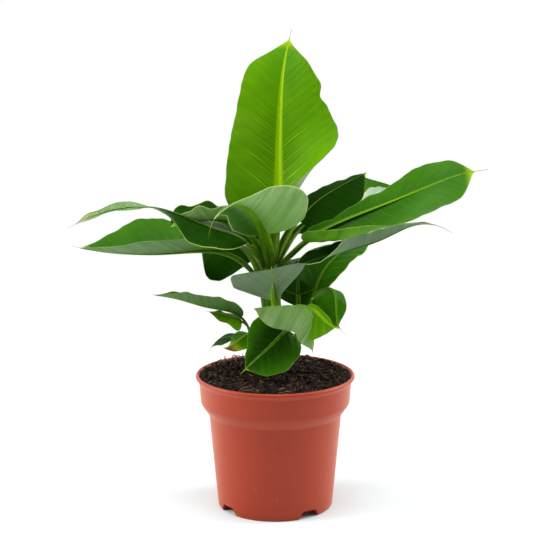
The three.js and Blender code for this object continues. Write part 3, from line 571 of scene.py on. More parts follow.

# leaves, each from its foot on a stem to its tip: heading, rise and roll in degrees, lengths in
# millimetres; half widths, fold and curl (how far a half stands up) are left, then right; paints are
# a label word, its upper face and its underside

plainLeaf = dict(            # what a leaf has where its own values say nothing else
    roll=[0, 0], curl=([0, 0], [0, 0]), wave=0, waves=1, taper=0.72,
    # shade is how much painted shadow lies over the blade, listed from its left margin to its right
    shade=[0, 0], rim=[0.2, 0.2], dried=0, burnt=0,   # the last two are shares of its length
    loose=1, bumps=([], []),                          # bumps are place, size and width
)
leaves = {
    "leaf_upright": dict(
        stem="trunk", at=[0.3, 0.6], petiole=28, blade=146, tail=8,
        heading=[50, 88, 78, 42], rise=[83, 62, 76, 70], roll=[0, 4, 0],
        half=([42, 42, 42, 39, 36, 33, 31, 26, 18], [36, 43, 46, 49, 48, 40, 32, 26, 15]),
        fold=([24, 14, 8], [24, 12, 6]), curl=([18, 6, 0], [130, 60, 6, 0, 0]), wave=1.4, waves=2.5,
        taper=0.84, stalk=[2.4, 3.4, 3.1], paints=("bright", "fresh", "pale"), rim=[0.1, 0.1],
        bumps=([(0.85, 1.2, 0.03), (0.92, -1.6, 0.03)], [(0.77, 2.8, 0.035), (0.69, -2.4, 0.03)])),
    "leaf_front": dict(
        stem="trunk", at=[-1, -5], petiole=30, blade=82, tail=15,
        heading=[-111, -116, -116, -119, -156], rise=[77, 51, 27, -7, -88], roll=[-14, -28, -30, -20],
        half=([26, 35, 42, 39, 31, 24, 18, 12, 6], [12, 14, 17, 18, 16, 12, 9, 6, 4]),
        fold=([-22, 0, -2, 0], [-20, -30, -30]), wave=0.8, waves=2, taper=0.8, stalk=[2.6, 3.6, 3.4],
        paints=("pale", "bright", "pale"), shade=[0, 0, 0.9, 0.9], rim=[0.9, 0.9]),
    "leaf_left_folded": dict(
        stem="trunk", at=[-4.6, 2.4], petiole=38, blade=58, tail=2,
        heading=[-142, -150, -153, -150], rise=[78, 38, 2, -10],
        half=([8, 11, 14, 15, 14], [10, 14, 16, 16, 14]), fold=([50, 48, 52], [50, 40, 34]), wave=1.2,
        waves=3, taper=0.8, stalk=[2.2, 2.8, 2.4], paints=("dark", "deep", "pale"), rim=[0.6, 0.6]),
    "leaf_left_long": dict(
        stem="trunk", at=[-5.2, -1.8], petiole=26, blade=138, tail=7,
        heading=[-136, -150, -154, -164, -164], rise=[63, 22, 24, -6, -27], roll=[14, 12, 6, 0],
        half=([12, 18, 23, 23, 19, 14, 8, 6, 6], [20, 25, 16, 12, 10]),
        fold=([-10, -24, -30, 10, 50, 50], [0, -8, -20, -20]), wave=0.8, waves=4, stalk=[2.2, 3, 2.8],
        paints=("dark", "deep", "pale"), rim=[0.9, 0.9, 0.3, 0.1, 0.1], dried=0.05, loose=0.5,
        bumps=([(0.93, 2.4, 0.05)], [(0.92, 3.2, 0.05), (0.8, 1, 0.03)])),
    "leaf_left_low": dict(
        stem="trunk", at=[-8.7, -1.5], height=172, petiole=36, blade=106, tail=6,
        heading=[176, 188, 185, 189], rise=[60, 0, 2, 14],
        half=([14, 21, 22, 18, 12], [16, 28, 34, 25, 15]), fold=([50, 38, 32, 26], [50, 44, 40, 26]),
        wave=0.6, waves=2, stalk=[2.2, 2.8, 2.6], paints=("bright", "bright", "grey"),
        bumps=([(0.95, 2.6, 0.03)], [(0.62, 2.6, 0.05), (0.76, -1.6, 0.05)])),
    "leaf_left_round": dict(
        stem="trunk", at=[-7.6, 5.6], height=168, petiole=20, blade=50, tail=3,
        heading=[132, 142, 155, 157], rise=[80, 37, 9, -20],
        half=([16, 27, 32, 31, 26], [14, 18, 18, 14, 8]), fold=([-75, -76, -70, -62, -50], [-10, -10]),
        curl=([0, 0], [-10, -10]), taper=0.8, stalk=[2, 2.6, 2.4], paints=("dark", "deep", "grey")),
    "leaf_right_back": dict(
        stem="trunk", at=[4.2, 3.4], petiole=34, blade=120, tail=6,
        heading=[61, 49, 44, 33], rise=[48, 16, 3, 20],
        half=([4, 7, 12, 26, 22], [10, 14, 14, 14, 9]), fold=([-14, -4, 20, 44, 34], [-40, -20, 50, 44]),
        wave=0.6, waves=2, stalk=[2.2, 2.8, 2.6], paints=("dark", "bright", "frost"), shade=[0.4, 0, 0.1]),
    "leaf_right_dark": dict(
        stem="trunk", at=[2.6, 6], petiole=40, blade=72, tail=2,
        heading=[50, 42, 34, 28], rise=[64, 40, 22, 20],
        half=([8, 10, 9, 7, 4], [20, 27, 26, 18, 8]), fold=([20, 10], [-62, -60, -40]),
        curl=([0, 0], [-10, 0]), wave=0.4, waves=2, taper=0.8, stalk=[2.2, 2.6, 2.4],
        paints=("dark", "deep", "grey"), shade=[0.5, 0.5]),
    "leaf_right_big": dict(
        stem="trunk", at=[5.3, -0.8], petiole=30, blade=136, tail=10,
        heading=[-24, -20, -10, -5], rise=[52, 33, 24, 23, 23, 6], roll=[-6, -18, -25, -25],
        half=([7, 6, 14, 27, 23], [24, 40, 40, 38, 32]), fold=([50, 30, 4, 0], [-50, -60, -40, 0, 0]),
        curl=([20, 6, 0], [150, 150, 90, 8, 0]), wave=1, waves=3, taper=0.8, stalk=[2.6, 3.6, 3.2],
        paints=("bright", "bright", "green"),
        bumps=([(0.9, 2.0, 0.04)], [(0.93, 5.0, 0.05), (0.8, -1.0, 0.03)])),
    "leaf_right_thin": dict(
        stem="trunk", at=[6.8, -5.5], height=170, petiole=20, blade=112, tail=14,
        heading=[-27, -26, -21, -17, -21], rise=[55, 20, 19, 26, -30], roll=[-10, -10],
        half=([8, 10, 10, 7, 4], [8, 13, 13, 8, 5]), fold=([40, 34, 24, 14], [0, 0, 60, 56, 40]),
        curl=([0, 0], [10, 0]), wave=0.6, waves=3, stalk=[2, 2.4, 2], paints=("dark", "deep", "ash"),
        shade=[0.3, 0.3], rim=[0.8, 0.8]),
    "leaf_back_tall": dict(
        stem="trunk", at=[0.2, 5.4], petiole=38, blade=106, tail=8,
        heading=[90, 94, 97, 98], rise=[78, 44, 20, -8],
        half=([18, 22, 24, 20, 12], [16, 22, 24, 20, 12]), fold=([24, 14, 6], [24, 14, 6]),
        curl=([0, -8], [0, -8]), wave=1.2, waves=3, stalk=[1.8, 2.4, 2.2],
        paints=("dark", "bright", "grey")),
    "leaf_back_left": dict(
        stem="trunk", at=[-4, 8.6], height=166, petiole=34, blade=92, tail=6,
        heading=[112, 122, 130, 136], rise=[70, 32, 6, -22],
        half=([20, 24, 24, 20, 12], [20, 24, 24, 20, 12]), fold=([10, 0, 0], [10, 0, 0]),
        curl=([0, -6], [0, -6]), wave=1, waves=3, stalk=[1.8, 2.2, 2], paints=("dark", "deep", "grey")),
    "leaf_under_front": dict(
        stem="sucker_front", at=[0, -2.4], petiole=22, blade=29, tail=3,
        heading=[-168, -140, -104, -100], rise=[80, 75, 64, 62],
        half=([2, 6, 14, 24, 30], [14, 28, 31, 30, 20]), fold=([10, 22, 34], [0, 0, 0]),
        curl=([0, 0], [-6, -6]), wave=0.4, waves=2, taper=0.8, stalk=[1.2, 1.5, 1.4],
        paints=("pale", "deep", "ash"), rim=[0.1, 0.1]),
    "leaf_spear": dict(
        stem="sucker_front", at=[-4, -1.2], petiole=15, blade=22, tail=2,
        heading=[-104, -104, -110, -100], rise=[58, 62, 78, 84],
        half=([1.6, 2.2, 2.2, 2, 1.2], [1.6, 2.2, 2.2, 2, 1.2]), fold=([30, 30], [30, 30]),
        stalk=[1.2, 1.5, 1.5], paints=("bright", "fresh", "green")),
    "leaf_arched": dict(
        stem="sucker_front", at=[2.6, 1.2], petiole=18, blade=45, tail=3,
        heading=[-40, -48, -55, -44, -30], rise=[49, 60, -44, -82, -84], roll=[180, 180],
        half=([30, 40, 42, 41, 36, 18, 13, 10, 5], [5, 5, 4, 4, 3]), fold=([-10, -6, 0], [0, 10]),
        curl=([10, 10], [10, 10]), taper=0.8, stalk=[1.3, 1.6, 1.6], paints=("pale", "bright", "soft")),
    "leaf_small_right": dict(
        stem="sucker_front", at=[2.8, -2.4], petiole=18, blade=33, tail=3,
        heading=[-10, -28, -33, -19], rise=[56, 39, -38, -17], roll=[-30, -50],
        half=([3, 4, 4, 3, 2], [12, 22, 26, 22, 12]), fold=([10, 0], [0, 0]), stalk=[1.2, 1.5, 1.5],
        paints=("bright", "fresh", "green")),
    "leaf_hanging": dict(
        stem="sucker_front", at=[0.4, 3], petiole=12, blade=46, tail=5,
        heading=[-55, -136, -165, -173], rise=[22, -31, -40, -45], roll=[20, 55, 60, 60],
        half=([16, 20, 21, 17, 9], [16, 21, 20, 11, 4]), fold=([4, 4], [4, 4]), taper=0.8,
        stalk=[1.2, 1.4, 1.4], paints=("bright", "bright", "green"), shade=[0.1, 0.5, 0.8, 0.7, 0.05]),
    "leaf_low_left": dict(
        stem="sucker_left", at=[-1, 2.4], petiole=18, blade=28, tail=3,
        heading=[-172, -161, -152, -158], rise=[87, 36, 18, 13],
        half=([12, 14, 12, 8, 5], [6, 7, 6, 4, 3]), fold=([-30, -30], [10, 10]), wave=0.4, waves=2,
        stalk=[1.2, 1.3, 1.3], paints=("bright", "fresh", "lime")),
    "leaf_brown_tip": dict(
        stem="sucker_left", at=[0.6, -2.6], petiole=9, blade=27, tail=2,
        heading=[-129, -129, -142, -164], rise=[78, -4, -29, 4],
        half=([15, 16, 13, 8, 4], [8, 9, 8, 5, 3]), fold=([-24, -24], [0, 0]), wave=0.3, waves=2,
        stalk=[1.2, 1.3, 1.3], paints=("bright", "bright", "green"), burnt=0.32),
    "leaf_small_dark": dict(
        stem="sucker_left", at=[-3.8, 3.8], height=121, petiole=14, blade=24, tail=8,
        heading=[149, 148, 160, 159], rise=[40, 0, -37, -76],
        half=([8, 10, 9, 6, 3], [6, 8, 7, 5, 3]), fold=([-20, -20], [10, 10]), stalk=[1.1, 1.2, 1.2],
        paints=("dark", "deep", "grey")),
    "leaf_narrow_left": dict(
        stem="sucker_left", at=[-2.6, -0.8], petiole=20, blade=70, tail=3,
        heading=[170, 198, 203, 193], rise=[92, 17, 21, 9],
        half=([8, 12, 11, 8, 5], [7, 10, 10, 8, 5]), fold=([44, 54, 44], [30, 30]), wave=0.4, waves=3,
        stalk=[1.2, 1.4, 1.4], paints=("dark", "fresh", "grey")),
    "leaf_under_right": dict(
        stem="sucker_right", at=[1.8, 2], petiole=18, blade=84, tail=5,
        heading=[51, 45, 33, 19], rise=[72, 62, 24, 12],
        half=([34, 32, 23, 12, 5], [5, 12, 18, 17, 9]), fold=([14, 10], [-10, -6]), wave=0.6, waves=2,
        stalk=[1.4, 1.8, 1.8], paints=("bright", "bright", "grey"), shade=[0.6, 0.6, 0.4, 0, 0],
        rim=[0.4, 0.4]),
    "leaf_striped": dict(
        stem="sucker_right", at=[-2.4, -2.6], petiole=33, blade=52, tail=10,
        heading=[-33, -9, -45, -85, -1], rise=[62, 74, 8, -80, -24],
        half=([4, 6, 8, 8, 5], [10, 17, 18, 17, 10]), fold=([-20, -20], [-20, -20]),
        stalk=[1.2, 1.5, 1.5], paints=("dark", "bright", "grey")),
    "leaf_back_low": dict(
        stem="sucker_right", at=[-2.6, 1.6], petiole=30, blade=62, tail=5,
        heading=[88, 92, 100, 108], rise=[82, 50, 10, -24],
        half=([16, 20, 20, 15, 8], [16, 20, 20, 15, 8]), fold=([14, 10], [14, 10]),
        curl=([0, -6], [0, -6]), wave=0.6, waves=2, stalk=[1.3, 1.6, 1.6],
        paints=("dark", "deep", "grey")),
}
leaves = {name: plainLeaf | leaf for name, leaf in leaves.items()}

# how finely blades are drawn, and what the living line adds to them, in millimetres

bladeGrid = dict(
    across=26, along=110, crowd=0.94, crowdShare=0.6,   # rows stand closer at a blade's two ends
    rounded=0.14, thick=0.42, walk=96,
    farMargin=9,                 # the rib line's distance to the margin, for the paint
)
ragged = dict(length=10, along=1.3, up=1.1)   # the margins wander by along and up, each length
wearLook = dict(
    spread=1.6, uneven=0.1,      # how far a dried tip reaches beyond its share, and how raggedly
    yellowing=1.6, char=(0.35, 0.8), margin=(0.25, 0.6),   # the pale margin in millimetres
)
pleats = dict(height=0.16, apart=7.3, drift=2, driftLength=17, slope=0.75, full=6)
ribForm = dict(wide=1.25, wideMiddle=1.3, deep=0.95, deepTip=0.6, tip=0.45, taper=0.75, groove=0.45)


def along(values, share):
    # a smooth value on its way through a short list
    spans = len(values) - 1
    t = min(max(share, 0), 1) * spans
    i = min(int(t), spans - 1)
    f = t - i
    b, c = values[i], values[i + 1]
    a, d = values[max(i - 1, 0)], values[min(i + 2, spans)]
    return 0.5 * (2 * b + (c - a) * f + (2 * a - 5 * b + 4 * c - d) * f ** 2
                  + (3 * b - a - 3 * c + d) * f ** 3)


def frameAt(limb, share):
    # forward along a limb, across it to its right, and up from its face
    heading = math.radians(along(limb["heading"], share))
    rise = math.radians(along(limb["rise"], share))
    roll = math.radians(along(limb.get("roll", [0, 0]), share))
    forward = Vector((math.cos(rise) * math.cos(heading), math.cos(rise) * math.sin(heading),
                      math.sin(rise)))
    level = Vector((math.sin(heading), -math.cos(heading), 0))
    upright = level.cross(forward)
    side = level * math.cos(roll) + upright * math.sin(roll)
    up = upright * math.cos(roll) - level * math.sin(roll)
    return forward, side, up


def walk(limb, foot, length):
    # the limb's line as points, all in millimetres
    steps = bladeGrid["walk"]
    points = [foot.copy()]
    for i in range(steps):
        points.append(points[i] + frameAt(limb, (i + 0.5) / steps)[0] * length / steps)
    return points


def pointAt(points, share):
    t = min(max(share, 0), 1) * (len(points) - 1)
    i = min(int(t), len(points) - 2)
    return points[i].lerp(points[i + 1], t - i)


def stemFoot(stem):
    x, y = stem["foot"]
    return Vector((x, y, soil["middle"] - seat["socket"]))


def bladeShare(leaf, v):
    # share of the full half width, 0 at the blade's base and 0 at its tip
    if v <= 0 or v >= 1:
        return 0
    base = math.sqrt(1 - (1 - min(v / bladeGrid["rounded"], 1)) ** 2)
    return base * (1 - (max(0, v - leaf["taper"]) / (1 - leaf["taper"])) ** 2)


def leafLength(leaf):
    return leaf["petiole"] + leaf["blade"] + leaf["tail"]


def leafFoot(leaf):
    stem = stems[leaf["stem"]]
    axis = walk(stem, stemFoot(stem), stem["length"])
    top, bottom = axis[-1].z, axis[0].z
    base = leaf.get("height", top + seat["above"])
    beside = (base - bottom) / (top - bottom) if "height" in leaf else 1
    middle = pointAt(axis, beside)
    return Vector((middle.x + leaf["at"][0], middle.y + leaf["at"][1], base))


def ribSize(leaf, v):
    # half width and depth of the stalk (v below 0) and of the rib that runs on under the blade
    form = ribForm
    foot, middle, top = leaf["stalk"]
    if v < 0:
        wide = along([foot * form["wide"], middle * form["wideMiddle"], top * form["wide"]], 1 + v)
        return wide, wide * form["deep"]
    wide = lerp(top * form["wide"], form["tip"], min(v, 1) ** form["taper"])
    return wide, wide * lerp(form["deep"], form["deepTip"], min(v * 3, 1))


def bladePoint(leaf, u, v):
    # how far across from the rib's line and how far up from it a point of the upper face lies
    hand = 0 if u < 0 else 1
    out = abs(u)
    wide, deep = ribSize(leaf, v)
    full = bladeShare(leaf, v)
    loose = full * leaf["loose"]
    spot = Vector((v * leaf["blade"] / ragged["length"], 4 if hand else -4, leaf["heading"][0]))
    half = along(leaf["half"][hand], v) * full + ragged["along"] * noise.noise(spot) * loose
    for place, size, width in leaf["bumps"][hand]:
        half += size * math.exp(-((v - place) / width) ** 2) * smooth(1 - v, 0, 0.04)
    half = max(half, wide * 0.9)
    fold = math.radians(along(leaf["fold"][hand], v))
    curl = math.radians(along(leaf["curl"][hand], v)) or 1e-4   # never quite flat
    turned = fold + curl * out
    across = half / curl * (math.sin(turned) - math.sin(fold))
    raised = -half / curl * (math.cos(turned) - math.cos(fold))
    frill = ragged["up"] * noise.noise(spot * 1.3 + Vector((0, 9, 0))) * loose * out ** 3
    shift = 0 if hand else 1.3
    ripple = leaf["wave"] * full * u * u * math.sin(math.tau * leaf["waves"] * v + shift)
    distance = out * half
    vein = v * leaf["blade"] - pleats["slope"] * distance
    phase = math.tau * vein / pleats["apart"] + pleats["drift"] * math.sin(vein / pleats["driftLength"])
    pleat = pleats["height"] * math.sin(phase) * min(1, distance / pleats["full"]) * (1 - out ** 4)
    groove = ribForm["groove"] * deep * math.exp(-(distance / wide) ** 2 * 1.6)
    return (across if hand else -across), raised + ripple + frill + pleat - groove, distance


def spread(count):
    # shares across one half, closest together at the rib and at the margin
    return [(1 - math.cos(math.pi * i / count)) / 2 for i in range(count + 1)]


def withered(share, uneven):
    # 0 on the living part of a blade and 1 at its tip
    return smooth(uneven, 1 - share * wearLook["spread"], 1) if share else 0


def makeBlade(name, leaf, line):
    columns, rows, crowd = bladeGrid["across"], bladeGrid["along"], bladeGrid["crowd"]
    shares = [-s for s in reversed(spread(columns)[1:])] + spread(columns)
    length = leafLength(leaf)
    bm = bmesh.new()
    placed, marked, shadeWearRim = (bm.verts.layers.float_vector.new(layer)
                            for layer in ("bladePlace", "bladeMarks", "bladeShadeWearRim"))
    bmesh.ops.create_grid(bm, x_segments=2 * columns, y_segments=rows, size=1)
    for vert in bm.verts:
        u = shares[round((vert.co.x + 1) * columns)]
        even = (vert.co.y + 1) / 2
        v = (1 - math.cos(math.pi * even * crowd)) / (1 - math.cos(math.pi * crowd))
        v = lerp(even, v, bladeGrid["crowdShare"])
        share = (leaf["petiole"] + v * leaf["blade"]) / length
        _, side, up = frameAt(leaf, share)
        x, y, distance = bladePoint(leaf, u, v)
        vert.co = (pointAt(line, share) + side * x + up * y) * mm
        rib = math.exp(-(distance / ribSize(leaf, v)[0]) ** 2)
        toMargin = distance / abs(u) - distance if u else bladeGrid["farMargin"]
        uneven = v + wearLook["uneven"] * noise.noise(Vector((u * 3, v * 9, 1)))
        wear = withered(leaf["dried"], uneven) - withered(leaf["burnt"], uneven)
        vert[placed] = Vector((math.copysign(distance, u), v * leaf["blade"], abs(u)))
        vert[marked] = Vector((rib, smooth(v, 0.94, 1), toMargin))
        # painted shadow across the blade, then its dried or burnt tip, then its pale margin
        vert[shadeWearRim] = Vector((along(leaf["shade"], (u + 1) / 2), wear, along(leaf["rim"], v)))
    _, upper, under = leaf["paints"]
    piece = makeObject(name, bm, [bladePaints[upper], underPaints[under], marginPaint])
    shell = piece.modifiers.new("thickness", "SOLIDIFY")
    shell.thickness = bladeGrid["thick"] * mm
    shell.offset = -1
    shell.material_offset = 1
    shell.material_offset_rim = 2
    return piece


def gutter(wide, deep, lip, thick, sides):
    # the section of a stalk: a half ellipse with a groove in its flat side
    outer = [math.pi * i / sides for i in range(sides + 1)]
    ring = [(wide * math.cos(a), -deep * math.sin(a)) for a in outer]
    ring += [((wide - lip) * math.cos(a), -(deep - thick) * math.sin(a)) for a in reversed(outer)]
    return ring


stalkLook = dict(
    sides=9, sheathLevels=16, petioleLevels=14, ribLevels=44, tailLevels=9,
    sheathThick=0.7, sheathLip=0.3, layer=0.22, embrace=0.96,
    leave=0.5,                # share of a sheath where it begins to part from its stem
    lip=(0.3, 0.5), floor=(0.5, 0.56),   # shares of its width and depth, closed and opened
    opens=(-0.3, 0.06), tailEnd=0.16,
)


def stalkRings(leaf, line, layer):
    # sheath up the stem, then the petiole, the rib under the blade and the thread at its tip
    look = stalkLook
    length = leafLength(leaf)
    stem = stems[leaf["stem"]]
    axis = walk(stem, stemFoot(stem), stem["length"])
    foot = line[0]
    footWide, footDeep = ribSize(leaf, -1)
    _, footSide, footUp = frameAt(leaf, 0)
    turned = dict(leaf, rise=[90, 90], roll=[0, 0])
    _, stemSide, stemUp = frameAt(turned, 0)
    rings, marks = [], []
    bottom = axis[0].z - 1
    for i in range(look["sheathLevels"]):
        s = i / look["sheathLevels"]
        z = lerp(bottom, foot.z, s)
        share = (z - axis[0].z) / (axis[-1].z - axis[0].z)
        radius = along(stem["radii"], share) * look["embrace"] - layer * look["layer"]
        part = smooth(s, look["leave"], 1)
        middle = pointAt(axis, share)
        middle.z = z
        middle = middle.lerp(foot, part)
        side = stemSide.lerp(footSide, part).normalized()
        up = stemUp.lerp(footUp, part).normalized()
        section = gutter(lerp(radius, footWide, part), lerp(radius, footDeep, part),
                         lerp(look["sheathLip"], footWide * look["lip"][0], part),
                         lerp(look["sheathThick"], footDeep * look["floor"][0], part),
                         look["sides"])
        rings.append([(middle + side * x + up * y) * mm for x, y in section])
        marks.append((-2 + s, z - bottom))
    stations = [-1 + i / look["petioleLevels"] for i in range(look["petioleLevels"])]
    stations += [i / look["ribLevels"] for i in range(look["ribLevels"] + 1)]
    stations += [1 + (i + 1) / look["tailLevels"] for i in range(look["tailLevels"])]
    for v in stations:
        if v < 0:
            share = (v + 1) * leaf["petiole"] / length
        elif v <= 1:
            share = (leaf["petiole"] + v * leaf["blade"]) / length
        else:
            share = (leaf["petiole"] + leaf["blade"] + (v - 1) * leaf["tail"]) / length
        _, side, up = frameAt(leaf, share)
        wide, deep = ribSize(leaf, min(v, 1))
        thin = lerp(1, look["tailEnd"] / wide, v - 1) if v > 1 else 1
        opened = smooth(v, *look["opens"])
        lip = wide * lerp(*look["lip"], opened)
        thick = deep * lerp(*look["floor"], opened)
        middle = pointAt(line, share)
        section = gutter(wide * thin, deep * thin, lip * thin, thick * thin, look["sides"])
        rings.append([(middle + side * x + up * y) * mm for x, y in section])
        marks.append((v, share * length))
    return rings, marks


def makeStalk(name, leaf, line, layer):
    bm = bmesh.new()
    place = bm.verts.layers.float_vector.new("stalkPlace")
    rings, marks = stalkRings(leaf, line, layer)
    levels = loftRings(bm, rings)
    count = len(rings[0])
    for ring, (v, reach) in zip(levels, marks):
        for k, vert in enumerate(ring):
            around = k / (count / 2) if k < count / 2 else 2 - (k + 1) / (count / 2)
            vert[place] = Vector((around, v, reach))
    bmesh.ops.recalc_face_normals(bm, faces=bm.faces)
    return makeObject(name, bm, [stalkPaints[leaf["paints"][1]]])


# paints of the leaves: colours as seen on a screen

# upper tones are lit and shaded copies of one leaf paint as well as the leaves' own greens: fresh also
# holds painted light shining through the blade from behind, deep holds painted shade
upperTones = dict(
    fresh=dict(dark=(60, 113, 0), light=(92, 143, 0), rib=(144, 184, 2), gloss=0.42, shine=0.03,
               glow=0.6, veins=0.5, ribEdge=0.3),
    bright=dict(dark=(32, 82, 0), light=(58, 110, 1), rib=(96, 146, 6), gloss=0.36, shine=0.05,
                glow=0.0, veins=0.2, ribEdge=0.6),
    deep=dict(dark=(14, 46, 4), light=(34, 76, 9), rib=(30, 68, 8), gloss=0.32, shine=0.01,
              glow=0.0, veins=0.12, ribEdge=0.6),
)
underTones = dict(
    pale=dict(dark=(108, 148, 70), light=(170, 198, 136), base=(86, 140, 14)),
    soft=dict(dark=(66, 98, 42), light=(126, 150, 98), base=(70, 112, 28)),
    ash=dict(dark=(94, 116, 86), light=(134, 152, 124), base=(96, 120, 78)),
    grey=dict(dark=(70, 102, 54), light=(112, 142, 90), base=(72, 112, 24)),
    lime=dict(dark=(90, 138, 8), light=(130, 172, 34), base=(96, 144, 8)),
    green=dict(dark=(54, 106, 4), light=(94, 144, 20), base=(70, 122, 4)),
    frost=dict(dark=(150, 176, 136), light=(206, 220, 196), base=(160, 186, 144)),
)
leafTints = dict(
    margin=(176, 200, 96), tip=(150, 180, 14), underRib=(112, 154, 30),
    marginSkin=[(62, 104, 20), (196, 212, 128), (110, 146, 50)],
    shadow=(16, 46, 1), underShadow=(40, 84, 4),
    bleached=(196, 192, 150), yellowed=(134, 138, 24), burnt=(112, 62, 24),
    # throat: painted shade for the hollow of the crown
    petiole=[(44, 82, 1), (86, 126, 8)], petioleCloud=(112, 144, 26), throatShade=(26, 40, 6),
    thread=(152, 174, 16), dry=(120, 84, 52),
    sheath=[(80, 98, 26), (130, 144, 62)], sheathFoot=(126, 112, 62),
)
drawnVeins = dict(apart=3.4, wander=2.2, line=(0.02, 0.1))   # the thin light ones near the rib


def veins(paint):
    # where a spot of the blade lies in millimetres, and the fine and broad streaks of its veins
    across, reach, share = paint.attribute("bladePlace")
    distance = abs(across)
    line = reach - distance * pleats["slope"]
    fine = paint.grain(paint.join(line * 0.75, across * 0.04, 0.0), 1.0, 2.0, 0.5)
    broad = paint.grain(paint.join(line * 0.17, across * 0.02, 3.0), 1.0, 1.0, 0.5)
    return distance, reach, share, line, fine, broad


def worn(paint, base, dried, toMargin, pale):
    # a bleached tip where dried is above 0, a yellowed and burnt one below, and the pale margin
    burnt = 0 - dried
    base = paint.tint(dried, base, leafTints["bleached"])
    base = paint.tint(burnt * wearLook["yellowing"], base, leafTints["yellowed"])
    base = paint.tint(paint.step(burnt, *wearLook["char"]), base, leafTints["burnt"])
    edge = 1 - paint.step(toMargin, *wearLook["margin"])
    return paint.tint(edge * pale, base, leafTints["margin"])


def bladePaint(name, tone):
    paint = Paint(name)
    _, reach, share, line, fine, broad = veins(paint)
    rib, tip, toMargin = paint.attribute("bladeMarks")
    shade, dried, pale = paint.attribute("bladeShadeWearRim")
    cloud = paint.grain(paint.place(), 32.0, 3.0, 0.55)
    light = paint.step(fine, 0.3, 0.75) * 0.25 + paint.step(cloud, 0.3, 0.72) * 0.35
    light = light + paint.step(broad, 0.3, 0.75) * 0.15 + paint.step(share, 0.15, 0.95) * 0.25
    base = paint.mix(light, colour(*tone["dark"]), colour(*tone["light"]))
    line = line / drawnVeins["apart"] + broad * drawnVeins["wander"]
    drawn = 1 - paint.step(line.math("PINGPONG", line, 0.5), *drawnVeins["line"])
    drawn = drawn * (1 - paint.step(share, 0.3, 0.8)) * (1 - paint.step(reach, 50.0, 110.0))
    drawn = drawn * paint.step(reach, 12.0, 40.0)
    base = paint.tint(drawn * tone["veins"], base, tone["rib"])
    base = paint.tint(paint.step(rib, 0.02, 0.35) * tone["glow"], base, tone["rib"])
    base = paint.tint(paint.step(rib, tone["ribEdge"], tone["ribEdge"] + 0.35), base, tone["rib"])
    base = paint.tint(shade, base, leafTints["shadow"])
    base = paint.tint(tip * 0.8, base, leafTints["tip"])
    base = worn(paint, base, dried, toMargin, pale)
    relief = paint.bump(fine, 0.35, 0.25 * mm, paint.bump(broad, 0.25, 0.8 * mm))
    return paint.finish(base, tone["gloss"] + fine * 0.12, tone["shine"], relief)


def underPaint(name, tone):
    paint = Paint(name)
    distance, reach, _, _, fine, broad = veins(paint)
    rib, _, toMargin = paint.attribute("bladeMarks")
    shade, dried, pale = paint.attribute("bladeShadeWearRim")
    cloud = paint.grain(paint.place(), 40.0, 3.0, 0.6)
    light = paint.step(fine, 0.25, 0.75) * 0.35 + paint.step(broad, 0.3, 0.7) * 0.45
    light = light + paint.step(cloud, 0.35, 0.7) * 0.2
    base = paint.mix(light, colour(*tone["dark"]), colour(*tone["light"]))
    base = paint.tint(paint.step(rib, 0.2, 0.7) * 0.6, base, leafTints["underRib"])
    young = 1 - paint.step(reach + distance * 0.5, 8.0, 58.0)
    base = paint.tint(young * 0.65, base, tone["base"])
    base = paint.tint(shade, base, leafTints["underShadow"])
    base = worn(paint, base, dried, toMargin, pale)
    relief = paint.bump(fine, 0.12, 0.25 * mm, paint.bump(broad, 0.2, 0.8 * mm))
    return paint.finish(base, 0.55 + fine * 0.15, 0.1, relief)


def plainMargin():
    paint = Paint("leafMargin")
    grain = paint.grain(paint.place(), 300.0, 2.0)
    green, pale, mottled = (colour(*tint) for tint in leafTints["marginSkin"])
    base = paint.mix(paint.attribute("bladeShadeWearRim")[2], green, pale)
    base = paint.mix(grain * 0.3, base, mottled)
    return paint.finish(base, 0.5, 0.1)


def stalkPaint(name, tone):
    # v runs from -2 over the sheath, from -1 over the petiole, 0 to 1 under the blade, 2 at the end
    paint = Paint(name)
    around, v, reach = paint.attribute("stalkPlace")
    streak = paint.grain(paint.join(around * 9.0, reach * 0.03, 0.0), 1.0, 3.0, 0.6)
    cloud = paint.grain(paint.place(), 60.0, 3.0)
    dark, light = (colour(*tint) for tint in leafTints["petiole"])
    base = paint.mix(paint.step(streak, 0.3, 0.7), dark, light)
    base = paint.tint(paint.step(cloud, 0.4, 0.7) * 0.35, base, leafTints["petioleCloud"])
    base = paint.tint(paint.step(v, -0.1, 0.5) * 0.6, base, tone["rib"])
    lips = paint.step(abs(around - 1.0), 0.86, 0.97)
    base = paint.tint(lips * 0.14, base, leafTints["margin"])
    # painted shade down in the crown's throat, where the sheath turns into the petiole
    throatShade = paint.step(v, -1.2, -1.0) * (1 - paint.step(v, -1.0, -0.7))
    base = paint.tint(throatShade * 0.6, base, leafTints["throatShade"])
    base = paint.tint(paint.step(v, 1.0, 1.2) * 0.9, base, leafTints["thread"])
    base = paint.tint(paint.step(v, 1.55, 1.8) * 0.9, base, leafTints["dry"])
    return paint.finish(base, 0.42, 0.05, paint.bump(streak, 0.3, 0.3 * mm))


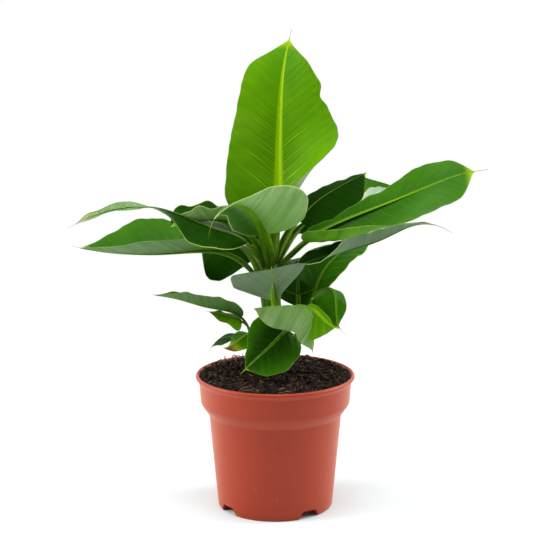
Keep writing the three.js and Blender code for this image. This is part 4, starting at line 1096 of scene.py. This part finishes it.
def stemPaint():
    paint = Paint("stemSheath")
    x, y, z = paint.split(paint.place())
    streak = paint.grain(paint.join(x * 900.0, y * 900.0, z * 40.0), 1.0, 3.0, 0.6)
    dark, light = (colour(*tint) for tint in leafTints["sheath"])
    base = paint.mix(paint.step(streak, 0.3, 0.7), dark, light)
    foot = 1 - paint.step(z, 0.102, 0.114)
    base = paint.tint(foot * 0.6, base, leafTints["sheathFoot"])
    return paint.finish(base, 0.45, 0.2, paint.bump(streak, 0.3, 0.4 * mm))


bladePaints = {name: bladePaint(name + "Face", tone) for name, tone in upperTones.items()}
underPaints = {name: underPaint(name + "Under", tone) for name, tone in underTones.items()}
stalkPaints = {name: stalkPaint(name + "Stalk", tone) for name, tone in upperTones.items()}
marginPaint = plainMargin()
stemFinish = stemPaint()


def makeStem(name, stem):
    line = walk(stem, stemFoot(stem), stem["length"])
    rings = []
    for i in range(stemLook["levels"] + 1):
        s = i / stemLook["levels"]
        middle = pointAt(line, s)
        radius = along(stem["radii"], s) - stemLook["core"]
        ring = []
        for k in range(stemLook["steps"]):
            turn = math.tau * k / stemLook["steps"]
            wavy = radius + stemLook["flute"] * math.sin(stemLook["flutes"] * turn + 3 * s)
            ring.append((middle + Vector((math.cos(turn), math.sin(turn), 0)) * wavy) * mm)
        rings.append(ring)
    bm = bmesh.new()
    loftRings(bm, rings)
    bmesh.ops.recalc_face_normals(bm, faces=bm.faces)
    handIn(makeObject(camel(name), bm, [stemFinish]), "stem", name)


def camel(name):
    first, *rest = name.split("_")
    return first + "".join(word.capitalize() for word in rest)


for stemName, stem in stems.items():
    makeStem(stemName, stem)
print("stems stand")

layers = {stemName: 0 for stemName in stems}
for leafName, leaf in leaves.items():
    line = walk(leaf, leafFoot(leaf), leafLength(leaf))
    slot = "leaf_" + leaf["paints"][0]
    handIn(makeBlade(camel(leafName) + "Blade", leaf, line), slot, leafName)
    handIn(makeStalk(camel(leafName) + "Stalk", leaf, line, layers[leaf["stem"]]), slot, leafName)
    layers[leaf["stem"]] += 1
print("leaves are out")
